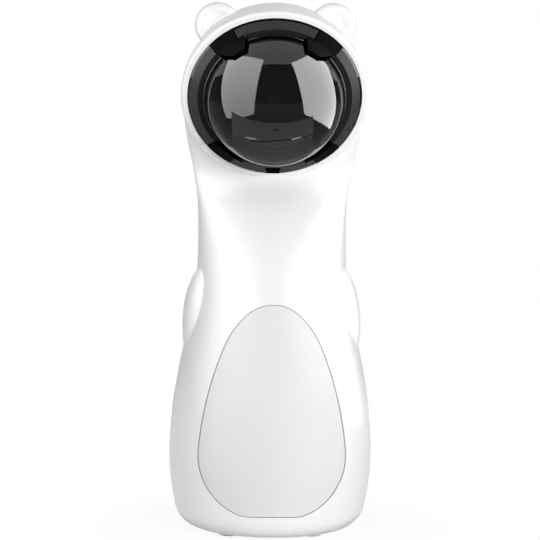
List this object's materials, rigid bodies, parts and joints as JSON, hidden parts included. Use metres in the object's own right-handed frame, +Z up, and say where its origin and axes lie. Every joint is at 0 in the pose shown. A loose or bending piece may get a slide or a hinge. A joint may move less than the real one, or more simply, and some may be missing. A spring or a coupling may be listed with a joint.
{
  "type": "automatic cat laser toy",
  "caption": "Bear-shaped standing laser toy for cats: two-part shell, smoked face dome, tilting cradle with a motor-turned laser, battery door and mode button.",
  "frame": {"origin": "middle of the footprint on the floor, under the feet", "axes": "+Z up, -Y the way the face looks, +X to the right seen from the front"},
  "size_m": [0.0776, 0.0768, 0.2036],
  "materials": {
    "white_shell": "satin white",
    "belly_grey": "matte pale grey",
    "smoked_dome": "smoked, polished",
    "black_plastic": "matte black",
    "foot_rubber": "matte",
    "screw_steel": "plated",
    "contact_steel": "nickel plated",
    "cell_skin": "printed jacket left bare",
    "board_green": "solder mask",
    "part_black": "moulded",
    "button_grey": "satin",
    "clear_plastic": "clear",
    "cradle_black": "matte",
    "motor_steel": "plated can",
    "gear_white": "acetal",
    "brass": "bright",
    "lens_glass": "polished"
  },
  "bodies": {
    "toy_body": {"front_shell": "white_shell", "rear_shell": "white_shell", "belly_panel": "belly_grey", "face_dome": "smoked_dome", "face_bezel": "black_plastic", "base_plate": "white_shell", "rubber_feet": "foot_rubber", "base_screws": "screw_steel", "shell_screws": "screw_steel", "battery_tray": "part_black", "battery_cells": "cell_skin", "battery_contacts": "contact_steel", "main_board": "board_green", "board_screws": "screw_steel", "usb_socket": "contact_steel", "tact_switch": "part_black", "indicator_led": "clear_plastic", "light_pipe": "clear_plastic"},
    "aim_cradle": {"cradle_plate": "cradle_black", "turret_axle": "screw_steel", "axle_clip": "contact_steel", "gear_motor": "motor_steel", "brush_contacts": "contact_steel", "aim_lever": "button_grey"},
    "laser_turret": {"turret_disc": "cradle_black", "drive_gear": "gear_white", "slip_rings": "brass", "laser_module": "brass", "laser_lens": "lens_glass"},
    "motor_drive": {"motor_pinion": "brass", "motor_shaft": "screw_steel"},
    "mode_button": {"mode_button": "button_grey"},
    "battery_door": {"battery_door": "white_shell"}
  },
  "joints": [
    {"name": "aim_tilt", "type": "hinge", "parent": "toy_body", "child": "aim_cradle", "pos_m": [0, -0.00536, 0.16987], "axis": [1, 0, 0], "range_deg": [-8, 8]},
    {"name": "turret_spin", "type": "hinge", "parent": "aim_cradle", "child": "laser_turret", "pos_m": [0, -0.01, 0.168], "axis": [0, -0.9272, -0.3746], "continuous": true},
    {"name": "pinion_spin", "type": "hinge", "parent": "aim_cradle", "child": "motor_drive", "pos_m": [0.0174, -0.01, 0.168], "axis": [0, -0.9272, -0.3746], "continuous": true},
    {"name": "button_press", "type": "slide", "parent": "toy_body", "child": "mode_button", "axis": [0, -1, 0], "range_m": [0, 0.0008], "stiffness_N_per_m": 400, "springref_m": -0.0006},
    {"name": "door_pull", "type": "slide", "parent": "toy_body", "child": "battery_door", "axis": [0, 1, 0], "range_m": [0, 0.025]}
  ],
  "couplings": [
    {"joint": "pinion_spin", "follows": "turret_spin", "ratio": -3.8333}
  ]
}
